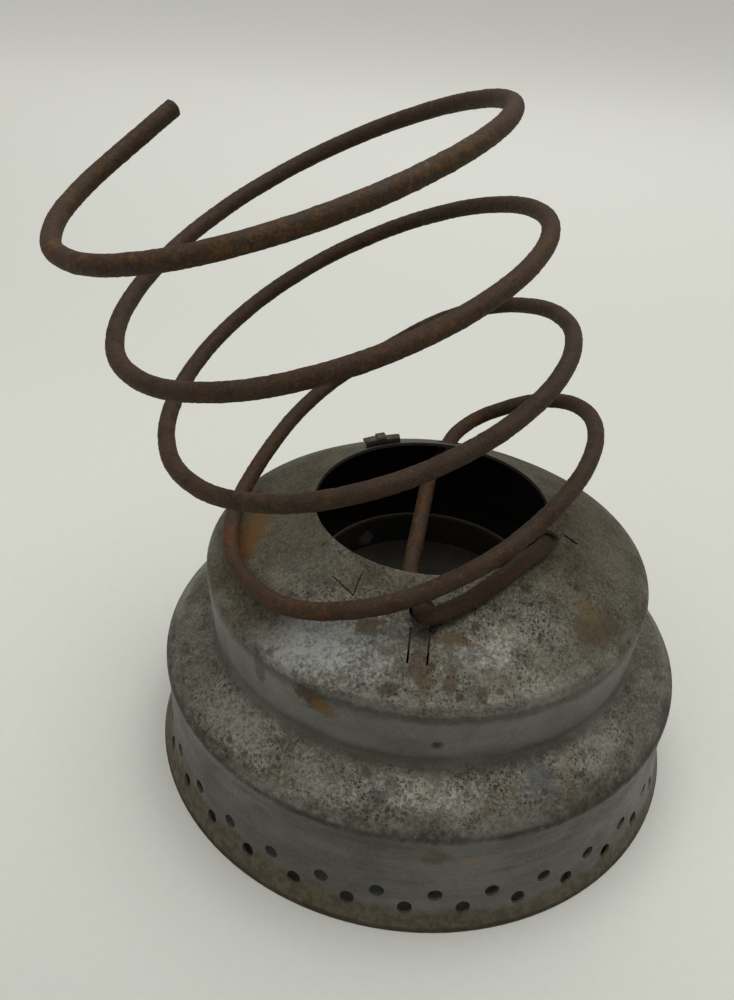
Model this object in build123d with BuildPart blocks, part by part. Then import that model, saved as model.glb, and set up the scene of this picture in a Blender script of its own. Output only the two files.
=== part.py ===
from build123d import *
import math
import os

# Stepped sheet-metal bell with an open coil of iron wire threaded through its crown.
# Millimetres, +Z up. The origin is on the bell's axis, on the plane its rim stands on.

# ---------------------------------------------------------------- bell shell
sheet = 0.8                      # thickness of the galvanised sheet
rim_radius = 76.0                # outside of the bottom edge, 152 mm across
bell_height = 78.1               # from the rim to the lip of the mouth
mouth_radius = 31.7              # round opening in the crown, 63.4 mm across

skirt_radius = rim_radius - 3.0  # narrowest part of the skirt
crease_radius = rim_radius - 2.5          # outside of the crease between skirt and shoulder
shoulder_radius = rim_radius - 7.0        # where the shoulder bends over to its slope
neck_radius = rim_radius - 16.6           # foot of the waist band
bulge_radius = neck_radius + 1.6          # edge where the waist band turns into the dome
dome_radius = mouth_radius + 0.69 * (bulge_radius - mouth_radius)    # where the dome steepens

dome_rise = 16.2
bulge_height = bell_height - dome_rise
dome_height = bulge_height + 0.36 * dome_rise
neck_height = bulge_height - 20.5
shoulder_height = neck_height - 4.5
crease_height = shoulder_height - 5.0
skirt_waist_high = crease_height - 3.9    # height where the skirt starts back out to the crease
skirt_waist_low = 10.0                    # height where the flare of the rim ends
rim_overrun = 2.0                         # the section runs on below the rim and is cut off flat

rim_flare_bend = 30.0            # bend radii on the outside of the section, from the rim up
skirt_top_bend = 20.0
crease_bend = 1.6
shoulder_bend = 7.0
neck_bend = 4.5
bulge_bend = 3.0
dome_bend = 0.55 * dome_radius
cut_depth = 16.0                 # length of the cutters that pierce the sheet

# ---------------------------------------------------------------- air holes
hole_count = 32                  # in each of the two staggered rows
hole_radius = 1.85
hole_row_low = 7.0
hole_row_high = 11.3
hole_pitch = 360.0 / hole_count
hole_first_high = -92.9          # azimuth of one hole of the upper row

# ---------------------------------------------------------------- wire
wire_radius = 2.25               # 4.5 mm iron wire
wire_gap = 0.3                   # air between the wire and the sheet it lies on
hole_clearance = 0.8             # air round the wire in the two holes it passes through

# Where the tucked end of the wire lies on the dome: azimuth, and distance beyond the mouth.
tuck_reach = 2.2
tuck_path = (
    (-24.0, tuck_reach),
    (-34.0, tuck_reach),
    (-44.0, tuck_reach),
    (-60.0, 4.6),
    (-75.0, 8.6),
)
tuck_bends = (12.0, 12.0, 30.0, 30.0)

# The hook in front and the foot of the coil behind: across, forwards or back, and height
# above where the wire would lie on the dome.
hook_corner = (1.8, -(mouth_radius + 13.6), 1.4)
foot_corner = (5.0, mouth_radius + 18.0, 0.9)
# Corners of the wire's run between them, under the mouth: across, forwards or back, and
# height above the lip of the mouth.
crossbar_corners = (
    (-1.8, -(mouth_radius + 1.4), -8.4),
    (-4.0, -(mouth_radius - 11.7), -9.5),
    (-1.6, mouth_radius - 2.7, -9.8),
)
hook_bend = wire_radius + 1.75   # bend radius of the hook, the tightest of the wire
crossbar_bend = 20.0

# Centre and radius of each turn of the coil, counted from the foot: turn 0, 1, 2, 3, 4.
turn_centre_x = (8.0, -9.6, -26.4, -34.4, -65.6)
turn_centre_y = (15.5, 11.9, 9.4, 9.2, -18.6)
turn_centre_above_mouth = (-9.9, 19.7, 45.9, 73.5, 92.5)
turn_radius = (mouth_radius + 5.3, 50.7, 55.8, 55.1, 35.8)
turn_tilt_left = math.radians(21.7)       # the turns dip to the left
turn_tilt_front = math.radians(2.7)       # and a little to the front
turn_oval_cos = -2.9             # the turns are slightly oval
turn_oval_sin = 1.6
push_out = 16.8                  # the lowest turn is bent outwards at the front left
push_at = 0.60
push_width = 0.15
lift_right = 4.8                 # and lifted a little on the right
lift_at = 0.20
lift_width = 0.28
lift_front = 1.0                 # and again where it passes over the tucked end
lift_front_at = 0.40
lift_front_width = 0.07
sag_back = 2.6                   # it sags a little behind, before the second turn
sag_at = 0.945
sag_width = 0.06
end_straighten = 80.5            # the free end is pulled straighter than the turns
end_straighten_from = 3.59
coil_from = 0.02                 # turns counted from the back of the bell
coil_to = 3.84
end_step = 0.02                  # the free end follows the direction of this last part of a turn
free_end_length = 21.3           # straight run at the free end
coil_steps = 61                  # straight runs that the coil's path is rounded from
coil_step = (coil_to - coil_from) / coil_steps
corner_share = 0.125             # corners stand out by this share of how sharply the coil turns
turn_chord_room = 0.7            # lifts the corners so the runs between them clear the dome
bend_share = 0.46                # a bend takes up at most this share of the shorter run beside it
slightest_bend = 400.0           # largest bend radius used where two runs are nearly in line
halvings = 40                    # steps of the search for where the wire meets the sheet

# ---------------------------------------------------------------- lanced tabs
slit_width = 0.5
flat_tab_slit_width = 0.3
clip_slit_width = 0.8
tongue_middle_x = 0.4            # two parallel slits below the hook
tongue_half_width = 2.3
tongue_from = mouth_radius + 12.3
tongue_to = mouth_radius + 20.3
clip_centre_radius = mouth_radius + tuck_reach    # clip curled over the tucked end of the wire
clip_room = 0.6                  # air between the wire and the inside of the clip
clip_lift = 0.1                  # the clip's centre lies this much above the wire's
clip_from = -27.5
clip_to = -9.5
clip_arc_start = 35.0
clip_arc_size = 215.0
clip_slit_reach = 8.0            # the slit beside the clip runs this far out from the mouth
curl_centre_radius = mouth_radius + 3.8   # ragged curled tab at the back left of the mouth
curls = ((109.5, 118.0, 1.0), (117.0, 121.5, 1.5), (120.5, 128.0, 1.2))    # from, to, radius
curl_arc_start = 75.0
curl_arc_size = 190.0
# Corners of the tab that was hammered flat again: azimuth, and distance beyond the mouth.
flat_tab = ((-125.3, 7.1), (-114.2, 8.9), (-115.6, 3.5))

# ---------------------------------------------------------------- inner pan
pan_sheet = 0.6
pan_gap = 0.2                    # between the pan's edge and the inside of the neck
neck_round_room = 0.44           # the rounded neck is this much wider than its corner
pan_radius = neck_radius - sheet + neck_round_room - pan_gap
pan_floor = neck_height + 1.2    # top of the pan's plate
cup_radius = mouth_radius        # outside of the upright ring
cup_depth = 10.2                 # from the ring's edge to the plate
pan_flange_drop = 3.0            # turned-down edge of the plate

crown_profile = (
    (mouth_radius, bell_height),
    (dome_radius, dome_height),
    (bulge_radius, bulge_height),
)


def dome_top(radius):
    """Height of the dome's outer surface at a distance from the axis."""
    heights = []
    for (r1, z1), (r2, z2) in zip(crown_profile[:-1], crown_profile[1:]):
        heights.append(z1 + (z2 - z1) * (radius - r1) / (r2 - r1))
    return min(heights)


def wire_rest(radius):
    """Height of the centre of a wire that lies on the dome at this distance from the axis."""
    heights = []
    for (r1, z1), (r2, z2) in zip(crown_profile[:-1], crown_profile[1:]):
        slope = (z2 - z1) / (r2 - r1)
        lift = (wire_radius + wire_gap) * math.sqrt(1 + slope * slope)
        heights.append(z1 + slope * (radius - r1) + lift)
    return min(heights)


def beyond_mouth(azimuth, distance):
    """Plan position at an azimuth and a distance outside the edge of the mouth."""
    angle = math.radians(azimuth)
    away = mouth_radius + distance
    return (away * math.cos(angle), away * math.sin(angle))


def between_turns(values, turns):
    """Smooth curve through five values given at 0, 1, 2, 3 and 4 turns."""
    total = 0.0
    for i, value in enumerate(values):
        weight = 1.0
        for j in range(len(values)):
            if j != i:
                weight *= (turns - j) / (i - j)
        total += value * weight
    return total


def coil_point(turns):
    """Centre of the wire after a number of turns, clockwise seen from above."""
    phase = math.pi / 2 - 2 * math.pi * turns
    radius = between_turns(turn_radius, turns)
    radius += turn_oval_cos * math.cos(2 * phase) + turn_oval_sin * math.sin(2 * phase)
    radius += push_out * math.exp(-((turns - push_at) / push_width) ** 2)
    radius -= end_straighten * max(0.0, turns - end_straighten_from) ** 2
    sideways = radius * math.cos(phase)
    depth = radius * math.sin(phase)
    x = between_turns(turn_centre_x, turns) + sideways * math.cos(turn_tilt_left)
    y = between_turns(turn_centre_y, turns) + depth * math.cos(turn_tilt_front)
    z = bell_height + between_turns(turn_centre_above_mouth, turns)
    z += sideways * math.sin(turn_tilt_left) + depth * math.sin(turn_tilt_front)
    z += lift_right * math.exp(-((turns - lift_at) / lift_width) ** 2)
    z += lift_front * math.exp(-((turns - lift_front_at) / lift_front_width) ** 2)
    z -= sag_back * math.exp(-((turns - sag_at) / sag_width) ** 2)
    away = math.hypot(x, y)
    if away < bulge_radius + wire_radius:
        z = max(z, wire_rest(away) + turn_chord_room)
    return (x, y, z)


def coil_corner(turns):
    """Corner of the coil's path, set outwards so that the rounded path follows the coil."""
    before = Vector(*coil_point(turns - coil_step))
    here = Vector(*coil_point(turns))
    after = Vector(*coil_point(turns + coil_step))
    corner = here + (here * 2 - before - after) * corner_share
    return (corner.X, corner.Y, corner.Z)


def from_lip(corner):
    """The corner of the wire in model coordinates, its height given from the lip of the mouth."""
    x, y, rise = corner
    return (x, y, bell_height + rise)


def over_dome(corner):
    """The corner of the wire in model coordinates, its height given from its rest on the dome."""
    x, y, rise = corner
    return (x, y, wire_rest(math.hypot(x, y)) + rise)


def pierced_at(below, above):
    """Where a straight run of wire, from below the dome to above it, meets the sheet."""
    low, high = 0.0, 1.0
    for halving in range(halvings):
        share = (low + high) / 2
        x, y, z = (a + (b - a) * share for a, b in zip(below, above))
        if z < dome_top(math.hypot(x, y)) - sheet / 2:
            low = share
        else:
            high = share
    return (x, y, z)


def bend_radii(points, limits):
    """Bend radius at each inner corner: as large as the runs allow, and within the limits
    given for the first corners."""
    radii = []
    for i in range(1, len(points) - 1):
        before = Vector(*points[i]) - Vector(*points[i - 1])
        after = Vector(*points[i + 1]) - Vector(*points[i])
        turn = math.radians(before.get_angle(after))
        room = bend_share * min(before.length, after.length)
        limit = limits[i - 1] if i <= len(limits) else slightest_bend
        radii.append(min(room / math.tan(turn / 2), limit))
    return radii


def tab_plane(azimuth):
    """Upright plane through the axis, its x pointing outwards at this azimuth."""
    angle = math.radians(azimuth)
    return Plane(
        origin=(0, 0, 0),
        x_dir=(math.cos(angle), math.sin(angle), 0),
        z_dir=(math.sin(angle), -math.cos(angle), 0),
    )


dome_slope = math.atan((bell_height - dome_height) / (dome_radius - mouth_radius))
wire_passages = (
    (from_lip(crossbar_corners[0]), over_dome(hook_corner)),
    (from_lip(crossbar_corners[-1]), over_dome(foot_corner)),
)

# ================================================================= shell
rim_flare = (rim_radius - skirt_radius) / skirt_waist_low
bell_profile = (
    (rim_radius + rim_flare * rim_overrun, -rim_overrun),
    (skirt_radius, skirt_waist_low),
    (skirt_radius, skirt_waist_high),
    (crease_radius, crease_height),
    (shoulder_radius, shoulder_height),
    (neck_radius, neck_height),
    (bulge_radius, bulge_height),
    (dome_radius, dome_height),
    (mouth_radius, bell_height),
)
bell_bends = (
    rim_flare_bend,
    skirt_top_bend,
    crease_bend,
    shoulder_bend,
    neck_bend,
    bulge_bend,
    dome_bend,
)
with BuildPart() as shell:
    with BuildSketch(Plane.XZ) as shell_section:
        with BuildLine() as shell_line:
            outside = FilletPolyline(*bell_profile, radius=bend_radii(bell_profile, bell_bends))
            offset(outside, amount=sheet, side=Side.LEFT)
        make_face()
    revolve(axis=Axis.Z)
    split(bisect_by=Plane.XY, keep=Keep.TOP)
    # two staggered rows of air holes
    for row_height, first in (
        (hole_row_high, hole_first_high),
        (hole_row_low, hole_first_high + hole_pitch / 2),
    ):
        with Locations((0, 0, row_height)):
            with PolarLocations(rim_radius, hole_count, start_angle=first):
                Cylinder(hole_radius, cut_depth, rotation=(0, 90, 0), mode=Mode.SUBTRACT)
    # the two holes the wire passes through, long enough for its slanting run
    for below, above in wire_passages:
        hole_middle = pierced_at(below, above)
        plan_run = math.hypot(above[0] - below[0], above[1] - below[1])
        plan_angle = math.degrees(math.atan2(above[1] - below[1], above[0] - below[0]))
        to_sheet = math.atan((above[2] - below[2]) / plan_run) + dome_slope
        hole_length = 2 * wire_radius / math.sin(to_sheet) + sheet / math.tan(to_sheet)
        hole_length = hole_length * math.cos(dome_slope) + 2 * hole_clearance
        with BuildSketch(Plane(origin=hole_middle).rotated((0, 0, plan_angle))):
            SlotOverall(hole_length, 2 * wire_radius + 2 * hole_clearance)
        extrude(amount=cut_depth / 2, both=True, mode=Mode.SUBTRACT)
    # two parallel slits below the hook
    tongue_middle_y = -(tongue_from + tongue_to) / 2
    tongue_middle_z = dome_top(-tongue_middle_y)
    with Locations(
        (tongue_middle_x - tongue_half_width, tongue_middle_y, tongue_middle_z),
        (tongue_middle_x + tongue_half_width, tongue_middle_y, tongue_middle_z),
    ):
        Box(slit_width, tongue_to - tongue_from, cut_depth, mode=Mode.SUBTRACT)
    # slit beside the clip, from the mouth outwards
    with Locations(Location((0, 0, bell_height), (0, 0, clip_to))):
        with Locations((mouth_radius, 0, 0)):
            Box(2 * clip_slit_reach, clip_slit_width, cut_depth, mode=Mode.SUBTRACT)
    # the two slits of the tab that was hammered flat again
    flat_tab_corners = [beyond_mouth(azimuth, distance) for azimuth, distance in flat_tab]
    for (x1, y1), (x2, y2) in zip(flat_tab_corners[:-1], flat_tab_corners[1:]):
        slit_length = math.hypot(x2 - x1, y2 - y1) + flat_tab_slit_width
        slit_direction = math.degrees(math.atan2(y2 - y1, x2 - x1))
        slit_middle = ((x1 + x2) / 2, (y1 + y2) / 2, dome_top(math.hypot(x1, y1)))
        with Locations(Location(slit_middle, (0, 0, slit_direction))):
            Box(slit_length, flat_tab_slit_width, cut_depth, mode=Mode.SUBTRACT)
    # sheet curled up and over the tucked end of the wire
    clip_height = wire_rest(clip_centre_radius) + clip_lift
    clip_inside = wire_radius + clip_room
    with BuildSketch(tab_plane(clip_from)) as clip_section:
        with BuildLine() as clip_line:
            clip_arc = CenterArc(
                (clip_centre_radius, clip_height), clip_inside, clip_arc_start, clip_arc_size
            )
            offset(clip_arc, amount=sheet, side=Side.RIGHT)
        make_face()
    revolve(axis=Axis.Z, revolution_arc=clip_to - clip_from)
    # curled tab at the back left of the mouth, torn into lengths that curl differently
    for curl_from, curl_to, curl_radius in curls:
        curl_height = dome_top(curl_centre_radius) + curl_radius
        with BuildSketch(tab_plane(curl_from)) as curl_section:
            with BuildLine() as curl_line:
                curl_arc = CenterArc(
                    (curl_centre_radius, curl_height), curl_radius, curl_arc_start, curl_arc_size
                )
                offset(curl_arc, amount=sheet, side=Side.RIGHT)
            make_face()
        revolve(axis=Axis.Z, revolution_arc=curl_to - curl_from)

shell.part.label = "shell"
os.makedirs("parts", exist_ok=True)
export_step(shell.part, "parts/shell.step")

# ================================================================= inner pan
corner = (Align.MIN, Align.MIN)
with BuildPart() as inner_pan:
    with BuildSketch(Plane.XZ) as pan_section:
        with Locations((0, pan_floor - pan_sheet)):
            Rectangle(pan_radius, pan_sheet, align=corner)
        with Locations((cup_radius - pan_sheet, pan_floor - pan_sheet)):
            Rectangle(pan_sheet, pan_sheet + cup_depth, align=corner)
        with Locations((pan_radius - pan_sheet, pan_floor - pan_flange_drop)):
            Rectangle(pan_sheet, pan_flange_drop, align=corner)
    revolve(axis=Axis.Z)

inner_pan.part.label = "inner_pan"
export_step(inner_pan.part, "parts/inner_pan.step")

# ================================================================= wire
wire_points = []
for azimuth, distance in tuck_path:
    x, y = beyond_mouth(azimuth, distance)
    wire_points.append((x, y, wire_rest(mouth_radius + distance)))
wire_points.append(over_dome(hook_corner))
for wire_corner in crossbar_corners:
    wire_points.append(from_lip(wire_corner))
wire_points.append(over_dome(foot_corner))
first_bends = tuck_bends + (hook_bend,) + (crossbar_bend,) * len(crossbar_corners)

for i in range(coil_steps + 1):
    wire_points.append(coil_corner(coil_from + coil_step * i))
end_direction = Vector(*coil_point(coil_to)) - Vector(*coil_point(coil_to - end_step))
free_end = Vector(*wire_points[-1]) + end_direction.normalized() * free_end_length
wire_points.append((free_end.X, free_end.Y, free_end.Z))

with BuildPart() as wire:
    with BuildLine() as wire_path:
        FilletPolyline(*wire_points, radius=bend_radii(wire_points, first_bends))
    with BuildSketch(Plane(origin=wire_path.line @ 0, z_dir=wire_path.line % 0)) as wire_section:
        Circle(wire_radius)
    sweep()

wire.part.label = "wire"
export_step(wire.part, "parts/wire.step")
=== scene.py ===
import math

import bpy
import numpy as np
from mathutils import Matrix, Vector, noise


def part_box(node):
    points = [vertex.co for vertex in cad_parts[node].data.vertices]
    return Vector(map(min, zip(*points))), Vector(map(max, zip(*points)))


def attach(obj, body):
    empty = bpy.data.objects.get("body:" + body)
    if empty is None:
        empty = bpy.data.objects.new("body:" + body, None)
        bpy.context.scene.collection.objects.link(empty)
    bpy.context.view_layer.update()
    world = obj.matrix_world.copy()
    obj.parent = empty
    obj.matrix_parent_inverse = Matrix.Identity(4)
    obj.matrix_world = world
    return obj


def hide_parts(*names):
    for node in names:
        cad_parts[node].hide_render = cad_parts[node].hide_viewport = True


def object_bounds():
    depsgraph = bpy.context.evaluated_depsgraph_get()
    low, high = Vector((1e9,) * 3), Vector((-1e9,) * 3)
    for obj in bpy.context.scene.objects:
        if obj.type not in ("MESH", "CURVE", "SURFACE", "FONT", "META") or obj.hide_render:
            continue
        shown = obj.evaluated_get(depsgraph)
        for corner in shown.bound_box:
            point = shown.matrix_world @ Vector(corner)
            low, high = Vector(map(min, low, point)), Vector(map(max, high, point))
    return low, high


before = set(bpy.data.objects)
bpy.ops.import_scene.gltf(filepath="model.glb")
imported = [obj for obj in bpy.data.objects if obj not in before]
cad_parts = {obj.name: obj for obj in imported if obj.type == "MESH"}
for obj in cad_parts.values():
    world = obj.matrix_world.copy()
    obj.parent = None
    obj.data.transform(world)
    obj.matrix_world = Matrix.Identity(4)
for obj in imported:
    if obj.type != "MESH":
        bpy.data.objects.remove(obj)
bpy.context.view_layer.update()
cad_low, cad_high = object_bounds()
scene = bpy.context.scene
MM = 0.001


# ---------------------------------------------------------------- node helpers
class Shader:
    """Builds a node tree out of short calls. Lengths in the patterns are in millimetres."""

    def __init__(self, name):
        self.material = bpy.data.materials.new(name)
        self.material.use_nodes = True
        self.tree = self.material.node_tree
        self.tree.nodes.clear()
        out = self.tree.nodes.new("ShaderNodeOutputMaterial")
        self.surface = self.tree.nodes.new("ShaderNodeBsdfPrincipled")
        self.tree.links.new(self.surface.outputs["BSDF"], out.inputs["Surface"])
        place = self.tree.nodes.new("ShaderNodeTexCoord")
        self.point = self.vector("SCALE", place.outputs["Object"], scale=1 / MM)
        split = self.tree.nodes.new("ShaderNodeSeparateXYZ")
        self.link(self.point, split.inputs[0])
        self.x, self.y, self.z = split.outputs

    def link(self, value, socket):
        if isinstance(value, bpy.types.NodeSocket):
            self.tree.links.new(value, socket)
        else:
            socket.default_value = value

    def math(self, operation, a, b=0.0, c=0.0):
        node = self.tree.nodes.new("ShaderNodeMath")
        node.operation = operation
        for value, socket in zip((a, b, c), node.inputs):
            self.link(value, socket)
        return node.outputs[0]

    def vector(self, operation, a, b=(0.0, 0.0, 0.0), scale=None):
        node = self.tree.nodes.new("ShaderNodeVectorMath")
        node.operation = operation
        self.link(a, node.inputs[0])
        self.link(b, node.inputs[1])
        if scale is not None:
            self.link(scale, node.inputs["Scale"])
        return node.outputs["Value" if operation in ("LENGTH", "DOT_PRODUCT") else "Vector"]

    def moved(self, where, shift):
        """The same point shifted into another part of the pattern, so that two patterns don't repeat."""
        return self.vector("ADD", where, (shift, -shift, shift * 0.7)) if shift else where

    def noise(self, size, detail=4.0, rough=0.55, stretch=None, shift=0.0):
        """Noise whose blotches are about size mm across, 0 to 1."""
        where = self.vector("MULTIPLY", self.point, stretch) if stretch else self.point
        where = self.moved(where, shift)
        node = self.tree.nodes.new("ShaderNodeTexNoise")
        self.link(where, node.inputs["Vector"])
        node.inputs["Scale"].default_value = 1.0 / size
        node.inputs["Detail"].default_value = detail
        node.inputs["Roughness"].default_value = rough
        return node.outputs["Fac"]

    def cells(self, size, shift=0.0):
        """Distance to the nearest of scattered points about size mm apart, in cells, and three
        numbers from 0 to 1 that differ from point to point."""
        node = self.tree.nodes.new("ShaderNodeTexVoronoi")
        self.link(self.moved(self.point, shift), node.inputs["Vector"])
        node.inputs["Scale"].default_value = 1.0 / size
        parts = self.tree.nodes.new("ShaderNodeSeparateColor")
        self.link(node.outputs["Color"], parts.inputs[0])
        return node.outputs["Distance"], parts.outputs

    def span(self, value, low, high, to_low=0.0, to_high=1.0, smooth=True):
        """Remaps low..high to to_low..to_high, clamped."""
        node = self.tree.nodes.new("ShaderNodeMapRange")
        node.interpolation_type = "SMOOTHSTEP" if smooth else "LINEAR"
        node.clamp = True
        for key, v in (
            ("Value", value),
            ("From Min", low),
            ("From Max", high),
            ("To Min", to_low),
            ("To Max", to_high),
        ):
            self.link(v, node.inputs[key])
        return node.outputs[0]

    def mix(self, share, a, b):
        """Colour a where share is 0, colour b where it is 1."""
        node = self.tree.nodes.new("ShaderNodeMix")
        node.data_type = "RGBA"
        node.clamp_factor = True
        self.link(share, node.inputs[0])
        # a Mix node's sockets 6 and 7, and its output 2, are the ones for colours
        for colour, socket in zip((a, b), node.inputs[6:8]):
            self.link((*colour, 1.0) if isinstance(colour, tuple) else colour, socket)
        return node.outputs[2]

    def fold(self, operation, values):
        total = values[0]
        for value in values[1:]:
            total = self.math(operation, total, value)
        return total

    def times(self, *values):
        return self.fold("MULTIPLY", values)

    def plus(self, *values):
        return self.fold("ADD", values)

    def most(self, *values):
        return self.fold("MAXIMUM", values)

    def wobble(self, amount, size, detail, rough, shift):
        """A ragged offset, from minus to plus half of amount."""
        noise_value = self.noise(size, detail, rough, shift=shift)
        return self.math("MULTIPLY", self.math("SUBTRACT", noise_value, 0.5), amount)

    def between(self, value, base, rise_from, rise_to, fall_from, fall_to):
        """1 from base + rise_to up to base + fall_from, fading to 0 at rise_from and at fall_to."""
        rise = self.span(value, base + rise_from, base + rise_to)
        fall = self.span(value, base + fall_from, base + fall_to, 1.0, 0.0)
        return self.times(rise, fall)

    def spot(self, centre, size, ragged, soft, shape, shift):
        """1 inside a ragged blotch of that radius round centre, 0 outside."""
        offset = self.vector("SUBTRACT", self.point, centre)
        offset = self.vector("DIVIDE", offset, shape)
        away = self.math("DIVIDE", self.vector("LENGTH", offset), size)
        outline = self.math("SUBTRACT", self.noise(size * 0.55, 5.0, 0.65, shift=shift), 0.5)
        away = self.math("MULTIPLY_ADD", outline, ragged * 3.0, away)
        return self.span(away, 1.0 - soft, 1.0 + soft * 0.35, 1.0, 0.0)

    def bump(self, height, distance, strength=1.0, normal=None):
        node = self.tree.nodes.new("ShaderNodeBump")
        node.inputs["Strength"].default_value = strength
        node.inputs["Distance"].default_value = distance * MM
        self.link(height, node.inputs["Height"])
        if normal is not None:
            self.link(normal, node.inputs["Normal"])
        return node.outputs[0]


def linear(value):
    share = value / 255
    return share / 12.92 if share <= 0.04045 else ((share + 0.055) / 1.055) ** 2.4


def srgb(r, g, b):
    """Linear colour from the 0 to 255 values a screen shows."""
    return linear(r), linear(g), linear(b)


# ---------------------------------------------------------------- galvanised sheet
# heights on the bell, in millimetres, that its dirt, its wear, its painted shade and its painted
# highlights follow
CREASE = 33.0  # the skirt turns into the lower shoulder
GROOVE = 43.0  # the lower shoulder meets the waist band
BULGE = 60.0  # the waist band turns into the dome

# bare zinc, also the colour of the painted sheen at the dome's front
BARE_ZINC_AND_SHEEN = srgb(156, 157, 154)
ZINC_LIGHT = srgb(136, 135, 124)
ZINC_MID = srgb(108, 107, 97)
ZINC_DARK = srgb(82, 80, 70)
GROOVE_DARK = srgb(58, 51, 36)
DIRT_DEEP = srgb(30, 25, 18)
RUST = srgb(72, 55, 26)
RUST_DARK = srgb(48, 35, 18)

# size in mm, how far a pit reaches in its cell, share of cells left empty, shift of the pattern
PITS = (
    (2.3, 0.30, 0.66, 3.0),
    (1.2, 0.36, 0.52, 17.0),
    (0.7, 0.40, 0.50, 29.0),
    (4.6, 0.26, 0.74, 44.0),
)

# centre and radius in mm, stretch along x, y and z, colour, strength, shift of the pattern
STAINS_AND_HOOK_SHADOW = (
    ((-48.0, -8.0, 69.2), 9.0, (0.7, 1.5, 0.8), srgb(98, 72, 28), 0.85, 1.0),
    ((-48.5, -14.0, 68.6), 5.0, (0.9, 1.4, 0.8), srgb(104, 62, 22), 0.80, 2.0),
    ((-23.5, -56.0, 56.8), 4.4, (1.2, 0.9, 0.9), srgb(66, 50, 28), 0.95, 3.0),
    ((-20.3, -57.1, 54.9), 3.0, (1.1, 1.0, 1.0), srgb(112, 82, 32), 0.85, 4.0),
    ((-12.0, -44.3, 71.0), 3.6, (1.3, 0.8, 1.0), srgb(66, 50, 20), 0.85, 5.0),
    ((0.9, -52.4, 67.3), 4.6, (0.8, 1.3, 1.0), srgb(66, 52, 34), 0.90, 6.0),
    ((2.6, -56.0, 65.0), 3.2, (0.6, 1.5, 1.3), srgb(70, 58, 36), 0.80, 7.0),
    ((7.0, -59.6, 50.2), 1.5, (1.0, 1.0, 1.0), srgb(64, 42, 24), 0.95, 8.0),
    ((9.8, -72.3, 25.8), 3.2, (1.2, 1.0, 1.0), srgb(72, 60, 38), 0.70, 9.0),
    ((17.8, -70.8, 23.8), 2.2, (1.6, 1.0, 0.7), srgb(122, 108, 74), 0.75, 10.0),
    ((32.0, -56.5, 38.8), 5.0, (1.0, 1.0, 1.0), srgb(72, 73, 74), 0.85, 12.0),
    ((-5.0, -66.6, 37.9), 2.6, (1.3, 1.0, 1.0), srgb(58, 56, 54), 0.80, 14.0),
    ((-3.0, -63.6, 39.6), 1.9, (1.0, 1.0, 1.0), srgb(60, 58, 56), 0.80, 15.0),
    ((-9.0, -62.0, 40.0), 1.5, (1.0, 1.0, 1.0), srgb(60, 58, 56), 0.80, 16.0),
    ((43.5, -30.2, 67.0), 7.5, (1.0, 1.1, 0.8), srgb(72, 54, 32), 0.65, 18.0),
    ((40.9, -27.4, 69.1), 4.0, (1.0, 1.0, 1.0), srgb(96, 82, 46), 0.55, 19.0),
    ((8.7, -54.6, 65.6), 3.4, (0.55, 1.4, 1.1), srgb(66, 54, 32), 0.85, 20.0),
    ((15.9, -56.0, 63.7), 2.2, (0.8, 1.2, 1.0), srgb(60, 48, 28), 0.85, 21.0),
    ((-5.6, -57.6, 63.9), 2.1, (1.4, 0.9, 1.0), srgb(60, 48, 28), 0.90, 23.0),
    ((9.4, -45.6, 70.6), 3.4, (1.7, 0.45, 1.0), srgb(80, 56, 20), 0.75, 24.0),
    # painted shadow: near black round the hook, where the wire shades the sheet and its hole
    ((0.8, -43.2, 71.6), 5.0, (0.85, 0.9, 1.5), srgb(24, 17, 11), 1.0, 33.0),
    ((20.1, -66.1, 36.7), 1.5, (0.7, 1.3, 1.0), srgb(90, 78, 58), 0.80, 25.0),
    ((7.7, -61.5, 40.2), 1.9, (0.8, 1.2, 1.0), srgb(84, 76, 62), 0.75, 26.0),
    ((39.4, -52.0, 38.2), 7.0, (0.25, 1.0, 0.6), srgb(104, 92, 68), 0.50, 27.0),
    ((-37.6, -47.4, 56.5), 3.4, (0.7, 0.7, 1.8), srgb(66, 62, 56), 0.75, 28.0),
    ((-24.5, -33.5, 75.5), 4.0, (1.2, 1.0, 1.0), srgb(70, 64, 52), 0.55, 29.0),
    ((20.0, -52.0, 66.0), 4.0, (1.3, 0.9, 1.0), srgb(82, 66, 44), 0.55, 30.0),
    ((26.0, -60.5, 37.0), 3.0, (1.2, 1.0, 1.0), srgb(86, 76, 58), 0.50, 32.0),
)


class BellPatterns:
    """The noises and zones that several layers of the bell's colour share."""

    def __init__(self, s):
        self.on_dome = s.span(s.z, BULGE - 2.0, BULGE + 2.5)
        self.on_shoulder = s.between(s.z, CREASE, -1.5, 1.5, 7.5, 11.0)
        self.rough_zone = s.most(self.on_dome, self.on_shoulder)

        self.broad = s.noise(26.0, 3.0, 0.5)
        self.middle = s.noise(7.5, 5.0, 0.62, shift=31.0)
        self.small = s.noise(2.2, 4.0, 0.6, shift=57.0)
        self.crumbly = s.noise(0.95, 5.0, 0.72, shift=83.0)
        self.grain = s.noise(0.55, 2.0, 0.6, shift=11.0)
        self.flecks = s.noise(0.5, 3.0, 0.7, shift=101.0)
        self.streaks = s.noise(9.0, 4.0, 0.6, stretch=(0.35, 0.35, 3.2), shift=5.0)
        self.tone = s.plus(
            s.times(s.span(self.broad, 0.3, 0.7), 0.26),
            s.times(s.span(self.middle, 0.3, 0.7), 0.20),
            s.times(s.span(self.small, 0.32, 0.68), 0.20),
            s.times(s.span(self.crumbly, 0.34, 0.66), 0.34),
        )

        # the height, made ragged, so that none of the lines of dirt and of painted shade is straight
        self.waver = s.wobble(7.0, 9.0, 4.0, 0.6, 22.0)
        self.level = s.plus(s.z, self.waver)
        rim_level = s.plus(self.level, s.span(s.x, -62.0, 5.0, -3.0, 0.0))
        self.rim = s.span(rim_level, 4.2, 7.4, 1.0, 0.0)


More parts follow.
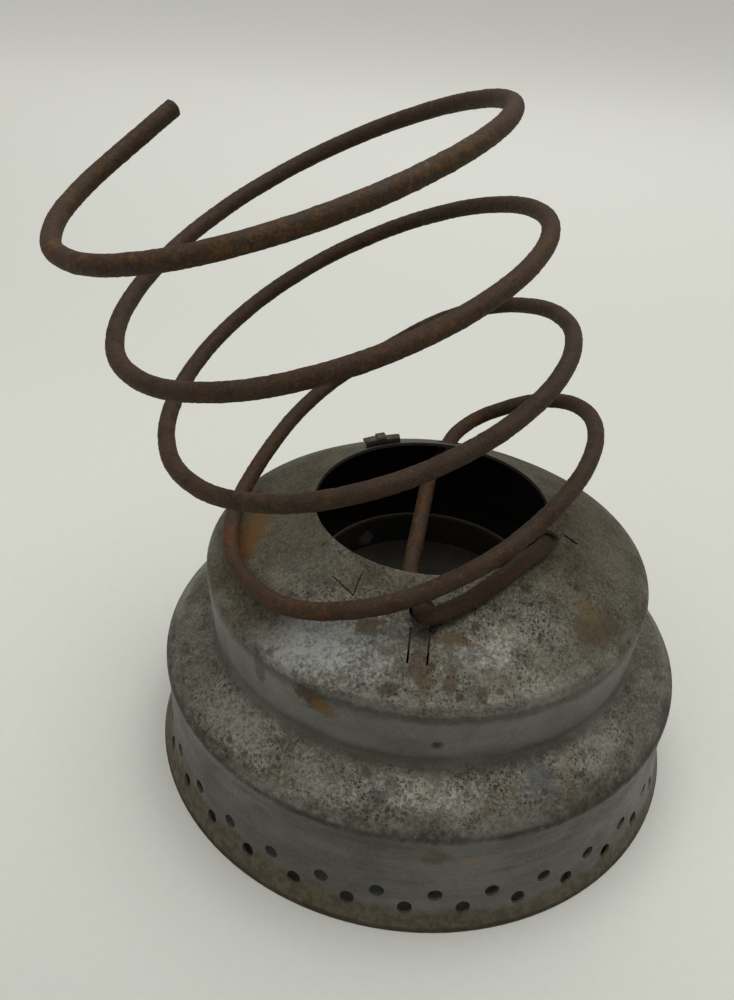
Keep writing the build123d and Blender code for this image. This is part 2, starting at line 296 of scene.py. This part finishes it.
def clean_sheet(s, p):
    """The zinc before its dirt: mottled on the dome and the lower shoulder, streaked elsewhere, darker
    low on the skirt, and lighter on the waist band as painted light.
    """
    mottled = s.mix(s.span(p.tone, 0.26, 0.50), ZINC_DARK, ZINC_MID)
    mottled = s.mix(s.span(p.tone, 0.50, 0.76), mottled, ZINC_LIGHT)
    mottled = s.mix(s.span(p.flecks, 0.58, 0.68, 0.0, 0.55), mottled, srgb(158, 157, 146))
    mottled = s.mix(s.span(p.flecks, 0.42, 0.34, 0.0, 0.55), mottled, srgb(58, 54, 42))

    plain_tone = s.plus(s.times(p.streaks, 0.5), s.times(p.broad, 0.5))
    plain = s.mix(s.span(plain_tone, 0.36, 0.64), srgb(90, 88, 83), srgb(118, 117, 113))
    scratches = s.noise(2.4, 4.0, 0.7, stretch=(0.12, 0.12, 4.0), shift=35.0)
    plain = s.mix(s.span(scratches, 0.52, 0.72, 0.0, 0.40), plain, srgb(68, 66, 60))
    plain = s.mix(s.span(s.z, CREASE - 5.0, CREASE + 1.0, 0.30, 0.0), plain, srgb(70, 68, 60))
    # painted light: the waist band above the groove made lighter, standing in for light falling on it
    plain = s.mix(s.span(s.z, GROOVE - 1.0, GROOVE + 4.0, 0.0, 0.55), plain, srgb(138, 136, 131))
    return s.mix(p.rough_zone, plain, mottled)


def pitting(s, p):
    """Where the dark pits are: thick on the front of the dome and shoulder, sparse elsewhere."""
    in_patches = s.span(s.noise(12.0, 4.0, 0.65, shift=91.0), 0.36, 0.60)
    to_front = s.span(s.y, 10.0, -40.0, 0.45, 1.0)
    amount = s.times(s.math("MULTIPLY_ADD", p.rough_zone, 0.82, 0.14), to_front)
    mask = 0.0
    for size, reach, empty_share, shift in PITS:
        away, draws = s.cells(size, shift)
        chosen = s.span(draws[0], empty_share, empty_share + 0.08)
        outline = s.math("SUBTRACT", s.noise(size * 0.35, 2.0), 0.5)
        away = s.math("MULTIPLY_ADD", outline, 0.35, away)
        pit = s.times(s.span(away, reach * 0.55, reach, 1.0, 0.0), chosen)
        mask = s.most(pit, mask)
    return s.times(mask, in_patches, amount)


def brown_film_and_side_shade(s, p):
    """How thick the brown film is, in blotches and thicker at the mouth; on the right, the back and the
    left of the dome it is made thicker still as painted shade.
    """
    radius = s.vector("LENGTH", s.vector("MULTIPLY", s.point, (1.0, 1.0, 0.0)))
    blotches = s.span(s.noise(17.0, 5.0, 0.62, shift=70.0), 0.36, 0.66)
    to_right = s.span(s.math("MULTIPLY_ADD", s.y, 0.75, s.x), -12.0, 42.0)
    near_mouth = s.span(radius, 33.0, 48.0, 1.0, 0.0)
    to_back = s.span(s.y, -8.0, 22.0)
    film_and_shade = s.plus(
        s.times(blotches, 0.34),
        s.times(p.on_dome, 0.16),
        # painted shade: the right, back and left terms darken the dome's sides away from the light; the
        # mouth term is film
        s.times(p.on_dome, to_right, 0.52),
        s.times(p.on_dome, to_back, 0.40),
        s.times(p.on_dome, near_mouth, 0.46),
        s.times(p.on_dome, s.span(s.x, -44.0, -18.0, 0.60, 0.0)),
        s.times(p.on_shoulder, 0.12),
    )
    return s.times(film_and_shade, s.span(p.small, 0.2, 0.75, 0.6, 1.0))


def film_and_shade_tint(s, p):
    # the brown film's colours, which also serve as the painted shade on the dome's sides
    tint = s.mix(s.span(p.middle, 0.36, 0.64), srgb(44, 38, 24), srgb(66, 58, 38))
    tint = s.mix(s.span(p.crumbly, 0.36, 0.66, 0.0, 0.45), tint, srgb(98, 90, 66))
    crusts = s.noise(3.2, 5.0, 0.66, shift=141.0)
    tint = s.mix(s.span(crusts, 0.52, 0.62, 0.0, 0.5), tint, srgb(92, 82, 50))
    return s.mix(s.span(p.flecks, 0.56, 0.66, 0.0, 0.45), tint, srgb(124, 116, 94))


def add_scabs(s, p, colour):
    """Crusts of old dirt on the dome and the lower shoulder."""
    crusts = s.span(s.noise(5.0, 6.0, 0.68, shift=123.0), 0.56, 0.60)
    in_patches = s.span(s.noise(21.0, 2.0, 0.5, shift=77.0), 0.40, 0.56)
    tint = s.mix(s.span(p.crumbly, 0.4, 0.6), srgb(50, 43, 28), srgb(84, 74, 50))
    return s.mix(s.times(crusts, p.rough_zone, in_patches, 0.55), colour, tint)


def add_bare_zinc_and_sheen(s, p, colour):
    """Bare zinc with a painted sheen at the front left of the dome and, less, right of the tongue."""
    front_left = s.spot((-22.0, -49.0, 67.0), 17.0, 0.45, 0.8, (1.2, 0.62, 1.0), 51.0)
    front_right = s.spot((15.0, -47.5, 69.2), 6.0, 0.5, 0.8, (1.3, 0.7, 1.0), 52.0)
    # painted sheen: bright zinc where light catches the dome's front
    bare_and_sheen = s.most(s.times(front_left, p.on_dome), s.times(front_right, 0.6))
    return s.mix(s.times(bare_and_sheen, s.span(p.tone, 0.25, 0.65, 0.20, 0.85)), colour, BARE_ZINC_AND_SHEEN)


def add_dirt_and_shade(s, p, colour):
    """Darker in the groove and at the rim's bottom edge; dirt above the crease and along the rim; dirt
    and painted shade on the crease; painted shade below the crease and under the bulge.
    """
    edge_level = s.plus(s.z, s.wobble(5.0, 3.4, 5.0, 0.7, 47.0))
    # darker along the groove
    groove = s.between(p.level, GROOVE, -3.0, -1.0, 0.0, 4.0)
    # painted shade: darker below the crease, where its edge shades the skirt
    shade_under_crease = s.between(p.level, CREASE, -8.5, -2.0, -1.6, 0.2)
    # dirt and painted shade: a dark line just under the crease's edge
    dirt_and_shade_on_crease = s.times(
        s.between(edge_level, CREASE, -2.6, -0.8, -0.4, 3.4),
        s.span(s.noise(2.6, 4.0, 0.7, shift=37.0), 0.34, 0.56, 0.45, 1.0),
    )
    above_crease = s.times(
        s.between(p.level, CREASE, -0.5, 0.5, 1.5, 5.5),
        s.span(s.noise(1.5, 4.0, 0.7, shift=19.0), 0.50, 0.60),
        s.span(s.x, 15.0, -20.0, 0.35, 1.0),
    )
    # painted shade: a grey band just under the bulge's edge
    shade_under_bulge = s.between(edge_level, BULGE, -4.0, -1.4, -0.6, 0.8)
    # darker at the very bottom edge of the rim
    rim_edge = s.span(s.math("MULTIPLY_ADD", p.waver, 0.15, s.z), 0.7, 1.6, 1.0, 0.0)
    rim_tint = s.mix(s.span(p.small, 0.38, 0.62), srgb(74, 66, 47), srgb(98, 89, 68))
    for place, strength, tint in (
        (groove, 0.40, GROOVE_DARK),
        (shade_under_crease, 0.22, srgb(56, 50, 38)),
        (dirt_and_shade_on_crease, 0.80, srgb(42, 36, 24)),
        (above_crease, 0.75, srgb(44, 36, 22)),
        (shade_under_bulge, 0.55, srgb(50, 48, 42)),
        (p.rim, 0.80, rim_tint),
        (rim_edge, 0.60, srgb(34, 29, 20)),
    ):
        colour = s.mix(s.times(place, strength), colour, tint)
    return colour


def rubbed_and_lit_edges(s, p, colour):
    """The bulge and the crease, rubbed bright in patches, partly wear and partly a painted highlight
    along their edges.
    """
    rubbed_and_lit = s.span(s.noise(12.0, 5.0, 0.65, shift=13.0), 0.42, 0.60)
    bulge_edge = s.between(s.z, BULGE, -0.6, 1.4, 2.4, 4.6)
    crease_edge = s.between(s.z, CREASE, -0.8, 0.2, 1.2, 3.6)
    edge = s.most(bulge_edge, crease_edge)
    # wear and painted highlight: the edges lightened in patches
    return s.mix(s.times(edge, rubbed_and_lit, p.crumbly, 0.55), colour, srgb(146, 145, 134))


def add_stains_and_hook_shadow(s, p, colour):
    """Each stain, and the painted shadow round the hook, at its own place on the sheet, broken up by the
    crumbly noise.
    """
    broken = s.span(p.crumbly, 0.34, 0.56, 0.45, 1.0)
    for centre, size, shape, tint, strength, shift in STAINS_AND_HOOK_SHADOW:
        patch = s.spot(centre, size, 0.75, 0.45, shape, shift)
        colour = s.mix(s.times(patch, broken, strength), colour, tint)
    return colour


def add_specks(s, p, colour):
    """Specks of rust scattered over the dome."""
    away, draws = s.cells(6.5, shift=63.0)
    away = s.math("MULTIPLY_ADD", s.math("SUBTRACT", p.small, 0.5), 0.5, away)
    speck = s.times(s.span(away, 0.10, 0.24, 1.0, 0.0), s.span(draws[1], 0.62, 0.70), p.on_dome)
    return s.mix(s.times(speck, 0.65), colour, s.mix(s.span(draws[2], 0.2, 0.5), RUST, RUST_DARK))


def inside_of_sheet(s):
    """1 where the surface faces down or towards the bell's axis, so on the inside of the sheet."""
    outward = s.vector("NORMALIZE", s.vector("MULTIPLY", s.point, (1.0, 1.0, 0.0)))
    outward = s.vector("ADD", outward, (0.0, 0.0, 1.0))
    surface = s.tree.nodes.new("ShaderNodeNewGeometry")
    facing = s.vector("DOT_PRODUCT", surface.outputs["True Normal"], outward)
    return s.span(facing, -0.05, 0.0, 1.0, 0.0, smooth=False)


def galvanised_sheet():
    s = Shader("weathered_galvanised_sheet")
    p = BellPatterns(s)
    pits = pitting(s, p)
    film_and_shade = brown_film_and_side_shade(s, p)
    pit_tint = s.mix(s.span(p.middle, 0.45, 0.62), DIRT_DEEP, RUST_DARK)

    colour = clean_sheet(s, p)
    colour = s.mix(s.times(pits, 0.80), colour, pit_tint)
    # brown film, with painted shade on the dome's right, back and left
    colour = s.mix(s.math("MINIMUM", film_and_shade, 0.88), colour, film_and_shade_tint(s, p))
    for add in (add_scabs, add_bare_zinc_and_sheen, add_dirt_and_shade, rubbed_and_lit_edges, add_stains_and_hook_shadow, add_specks):
        colour = add(s, p, colour)
    colour = s.mix(s.span(p.grain, 0.25, 0.75, 0.0, 0.22), colour, srgb(54, 50, 44))

    # guessed, as the inside isn't seen: brown below the pan; near black above it, soot and painted shade
    inside = inside_of_sheet(s)
    brown = s.mix(p.middle, srgb(40, 36, 28), srgb(66, 60, 48))
    lining = s.mix(s.span(s.z, GROOVE - 5.0, GROOVE + 3.0), brown, srgb(15, 12, 9))
    s.link(s.mix(inside, colour, lining), s.surface.inputs["Base Color"])

    rough = s.plus(
        0.40,
        s.times(s.span(p.tone, 0.25, 0.75, 1.0, 0.0), 0.16),
        s.times(s.math("MINIMUM", film_and_shade, 1.0), 0.18),
        s.times(pits, 0.15),
        s.times(p.rim, 0.12),
        s.times(s.math("SUBTRACT", p.grain, 0.5), 0.16),
    )
    s.link(s.most(rough, s.times(inside, 0.8)), s.surface.inputs["Roughness"])
    s.link(s.span(inside, 0.0, 1.0, 0.45, 0.05), s.surface.inputs["Metallic"])
    s.surface.inputs["Specular IOR Level"].default_value = 0.35

    relief = s.plus(
        s.times(p.small, p.rough_zone, 0.35),
        s.times(p.grain, 0.12),
        s.times(pits, -0.8),
        s.times(p.streaks, 0.15),
    )
    unevenness = s.bump(s.noise(22.0, 2.0, 0.5, shift=8.0), 2.4, 0.35)
    s.link(s.bump(relief, 0.22, 0.9, unevenness), s.surface.inputs["Normal"])
    return s.material


# ---------------------------------------------------------------- soot and painted shade in the pan
def soot_and_shade_sheet():
    s = Shader("soot_and_shade_pan")
    wide = s.noise(11.0, 5.0, 0.6)
    fine = s.noise(1.6, 4.0, 0.62, shift=9.0)
    # soot and painted shade: the pan made near black, as dark as the shade inside the bell
    colour = s.mix(s.span(wide, 0.36, 0.66), srgb(13, 11, 8), srgb(32, 25, 18))
    colour = s.mix(s.span(fine, 0.45, 0.75, 0.0, 0.4), colour, srgb(42, 32, 22))
    pan_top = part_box("inner_pan")[1].z / MM
    # painted highlight: the pan's top edge made lighter, as a rim catching light
    painted_rim_highlight = s.span(s.z, pan_top - 1.3, pan_top - 0.2)
    colour = s.mix(s.times(painted_rim_highlight, 0.85), colour, srgb(72, 60, 44))
    # painted glint: a light spot inside the pan
    painted_glint = s.spot((-19.0, 24.0, 46.0), 2.6, 0.3, 0.3, (1.0, 1.0, 1.0), 2.0)
    colour = s.mix(s.times(painted_glint, 0.8), colour, srgb(86, 80, 72))
    s.link(colour, s.surface.inputs["Base Color"])
    s.link(s.span(fine, 0.3, 0.7, 0.62, 0.85), s.surface.inputs["Roughness"])
    s.surface.inputs["Metallic"].default_value = 0.25
    relief = s.plus(s.times(wide, 0.6), s.times(fine, 0.4))
    s.link(s.bump(relief, 0.5, 0.8), s.surface.inputs["Normal"])
    return s.material


# ---------------------------------------------------------------- rusty wire
def rusty_wire():
    s = Shader("rusted_iron_wire")
    brown = srgb(56, 40, 24)
    brown_dark = srgb(26, 19, 12)
    purple = srgb(52, 40, 30)
    orange = srgb(92, 52, 18)
    ochre = srgb(84, 56, 22)

    wide = s.noise(24.0, 3.0, 0.55)
    patch = s.noise(6.0, 5.0, 0.62, shift=41.0)
    small = s.noise(1.5, 4.0, 0.65, shift=12.0)
    grain = s.noise(0.45, 2.0, 0.6, shift=7.0)

    colour = s.mix(s.span(wide, 0.38, 0.62), brown, purple)
    colour = s.mix(s.span(patch, 0.44, 0.66, 0.0, 0.75), colour, brown_dark)
    # the top turn's front, the foot and the hook are more orange than the turns between
    top = s.span(s.z, 128.0, 160.0)
    foot = s.span(s.z, 84.0, 74.0)
    to_front = s.span(s.y, -25.0, 25.0, 1.0, 0.15)
    at_hook = s.spot((12.0, -38.0, 74.5), 20.0, 0.3, 0.5, (1.0, 0.8, 0.6), 61.0)
    warm = s.plus(s.times(top, to_front, 0.85), s.times(foot, 0.45), s.times(at_hook, 0.35), 0.14)
    blend = s.plus(s.times(patch, 0.45), s.times(small, 0.35), s.times(wide, 0.2))
    warm_patch = s.span(blend, 0.47, 0.60)
    colour = s.mix(s.times(warm, warm_patch), colour, s.mix(top, orange, ochre))
    colour = s.mix(s.span(small, 0.50, 0.72, 0.0, 0.40), colour, srgb(88, 71, 50))
    colour = s.mix(s.span(grain, 0.50, 0.72, 0.0, 0.65), colour, brown_dark)
    colour = s.mix(s.span(grain, 0.30, 0.42, 0.28, 0.0), colour, srgb(92, 74, 50))
    streak = s.noise(3.4, 5.0, 0.7, shift=87.0)
    on_top = s.plus(s.times(top, to_front), 0.25)
    colour = s.mix(s.times(s.span(streak, 0.57, 0.64), on_top, 0.6), colour, ochre)
    colour = s.mix(s.times(at_hook, 0.35), colour, srgb(36, 18, 8))
    s.link(colour, s.surface.inputs["Base Color"])
    s.link(s.span(small, 0.3, 0.7, 0.56, 0.84), s.surface.inputs["Roughness"])
    s.surface.inputs["Metallic"].default_value = 0.0
    s.surface.inputs["Specular IOR Level"].default_value = 0.22
    relief = s.plus(s.times(small, 0.6), s.times(grain, 0.4))
    s.link(s.bump(relief, 0.30, 0.9), s.surface.inputs["Normal"])
    return s.material


def give(obj, material):
    obj.data.materials.clear()
    obj.data.materials.append(material)


# ---------------------------------------------------------------- the wire, pitted by rust
WIRE_VOXEL = 0.53  # mm, fine enough for the pits
HIGHEST_FLAKE = 0.10  # mm, the most that a flake stands out


def pit_depth(point):
    """How far rust has moved the wire's surface at a point, outwards, all in millimetres."""
    coarse = noise.noise(point / 3.4)
    fine = noise.noise(point / 0.95 + Vector((7.0, 3.0, 1.0)))
    flake = max(0.0, noise.noise(point / 1.9 + Vector((31.0, 5.0, 9.0))) - 0.25)
    return -0.02 + 0.035 * coarse + 0.10 * fine + 0.14 * flake


def even_copy(source, name):
    """A copy of an object with small faces of even size."""
    mesh = source.data.copy()
    obj = bpy.data.objects.new(name, mesh)
    scene.collection.objects.link(obj)
    remesh = obj.modifiers.new("even_faces", "REMESH")
    remesh.mode = "VOXEL"
    remesh.voxel_size = WIRE_VOXEL * MM
    remesh.use_smooth_shade = True
    bpy.context.view_layer.update()
    graph = bpy.context.evaluated_depsgraph_get()
    even = bpy.data.meshes.new_from_object(obj.evaluated_get(graph))
    obj.modifiers.clear()
    obj.data = even
    bpy.data.meshes.remove(mesh)
    return obj


def pitted_wire():
    obj = even_copy(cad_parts["wire"], "rusted_wire")
    mesh = obj.data
    count = len(mesh.vertices)
    place = np.empty(count * 3, np.float32)
    mesh.vertices.foreach_get("co", place)
    place = place.reshape(-1, 3).astype(float)
    facing = np.array([vertex.normal for vertex in mesh.vertices], float)
    depth = np.array([pit_depth(Vector(point) / MM) for point in place])
    place += facing * np.minimum(depth, HIGHEST_FLAKE)[:, None] * MM
    low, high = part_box("wire")
    place = np.clip(place, np.array(low), np.array(high))
    mesh.vertices.foreach_set("co", place.astype(np.float32).ravel())
    mesh.update()
    return obj


wire = pitted_wire()
give(wire, rusty_wire())
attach(wire, "root")
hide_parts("wire")

give(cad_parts["shell"], galvanised_sheet())
give(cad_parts["inner_pan"], soot_and_shade_sheet())

# ---------------------------------------------------------------- floor
FLOOR_HALF = 4.0
FLOOR_DROP = 0.0002  # keeps the card clear of the rim that stands on it


def pale_card():
    """Near white card, darker towards the front as a painted shadow, and lighter far behind the bell."""
    s = Shader("pale_card")
    card = s.mix(s.noise(3.0, 3.0, 0.6), srgb(203, 204, 196), srgb(209, 210, 202))
    # painted shadow: the card darkened towards the front
    card = s.mix(s.span(s.y, -230.0, -20.0, 0.75, 0.0), card, srgb(168, 169, 163))
    card = s.mix(s.span(s.y, 200.0, 1000.0), card, srgb(244, 245, 238))
    s.link(card, s.surface.inputs["Base Color"])
    s.surface.inputs["Roughness"].default_value = 0.8
    s.surface.inputs["Specular IOR Level"].default_value = 0.2
    return s.material


def floor():
    h = FLOOR_HALF
    mesh = bpy.data.meshes.new("floor")
    mesh.from_pydata([(-h, -h, 0), (h, -h, 0), (h, h, 0), (-h, h, 0)], [], [(0, 1, 2, 3)])
    obj = bpy.data.objects.new("floor", mesh)
    scene.collection.objects.link(obj)
    obj.location.z = cad_low.z - FLOOR_DROP
    give(obj, pale_card())


floor()

# ---------------------------------------------------------------- light
LIT_POINT = (0.0, 0.0, 0.05)
WORLD_TINT = (1.0, 0.99, 0.96, 1.0)
WORLD_LOW = (-0.1, 0.20)  # height on the unit sphere, strength
WORLD_HIGH = (0.9, 0.60)


def soft_box(name, place, size, power):
    lamp = bpy.data.lights.new(name, "AREA")
    lamp.shape = "SQUARE"
    lamp.size = size
    lamp.energy = power
    obj = bpy.data.objects.new(name, lamp)
    scene.collection.objects.link(obj)
    obj.location = place
    obj.rotation_mode = "QUATERNION"
    obj.rotation_quaternion = (Vector(LIT_POINT) - Vector(place)).to_track_quat("-Z", "Y")


def room():
    """Even light that grows stronger upwards."""
    world = bpy.data.worlds.new("room")
    scene.world = world
    world.use_nodes = True
    nodes = world.node_tree.nodes
    links = world.node_tree.links
    nodes.clear()
    out = nodes.new("ShaderNodeOutputWorld")
    back = nodes.new("ShaderNodeBackground")
    place = nodes.new("ShaderNodeTexCoord")
    split = nodes.new("ShaderNodeSeparateXYZ")
    rise = nodes.new("ShaderNodeMapRange")
    rise.inputs["From Min"].default_value, rise.inputs["To Min"].default_value = WORLD_LOW
    rise.inputs["From Max"].default_value, rise.inputs["To Max"].default_value = WORLD_HIGH
    back.inputs["Color"].default_value = WORLD_TINT
    links.new(place.outputs["Generated"], split.inputs[0])
    links.new(split.outputs["Z"], rise.inputs["Value"])
    links.new(rise.outputs[0], back.inputs["Strength"])
    links.new(back.outputs[0], out.inputs["Surface"])


soft_box("overhead", (0.10, 0.12, 0.95), 0.9, 6.2)
soft_box("front_left", (-0.75, -0.55, 0.75), 0.6, 1.8)
room()

# ---------------------------------------------------------------- camera
CAMERA_PLACE = Vector((0.0, -0.2134, 0.2197))
PITCH = math.radians(33.75)  # below level
TURN = math.radians(-4.72)  # from +Y towards +X
ROLL = math.radians(3.30)
SENSOR_WIDTH = 36.0
FOCAL_LENGTH = 34.11


def aimed_camera():
    look = Vector((math.sin(TURN) * math.cos(PITCH), math.cos(TURN) * math.cos(PITCH), -math.sin(PITCH)))
    level_right = Vector((math.cos(TURN), -math.sin(TURN), 0.0))
    level_up = level_right.cross(look)
    right = math.cos(ROLL) * level_right + math.sin(ROLL) * level_up
    up = -math.sin(ROLL) * level_right + math.cos(ROLL) * level_up
    turned = Matrix((right, up, -look)).transposed()

    lens = bpy.data.cameras.new("camera")
    lens.sensor_width = SENSOR_WIDTH
    lens.lens = FOCAL_LENGTH
    lens.clip_start = 0.01
    lens.clip_end = 50.0
    camera = bpy.data.objects.new("camera", lens)
    scene.collection.objects.link(camera)
    camera.matrix_world = Matrix.Translation(CAMERA_PLACE) @ turned.to_4x4()
    return camera


scene.camera = aimed_camera()
scene.view_settings.view_transform = "Standard"

bpy.context.view_layer.update()
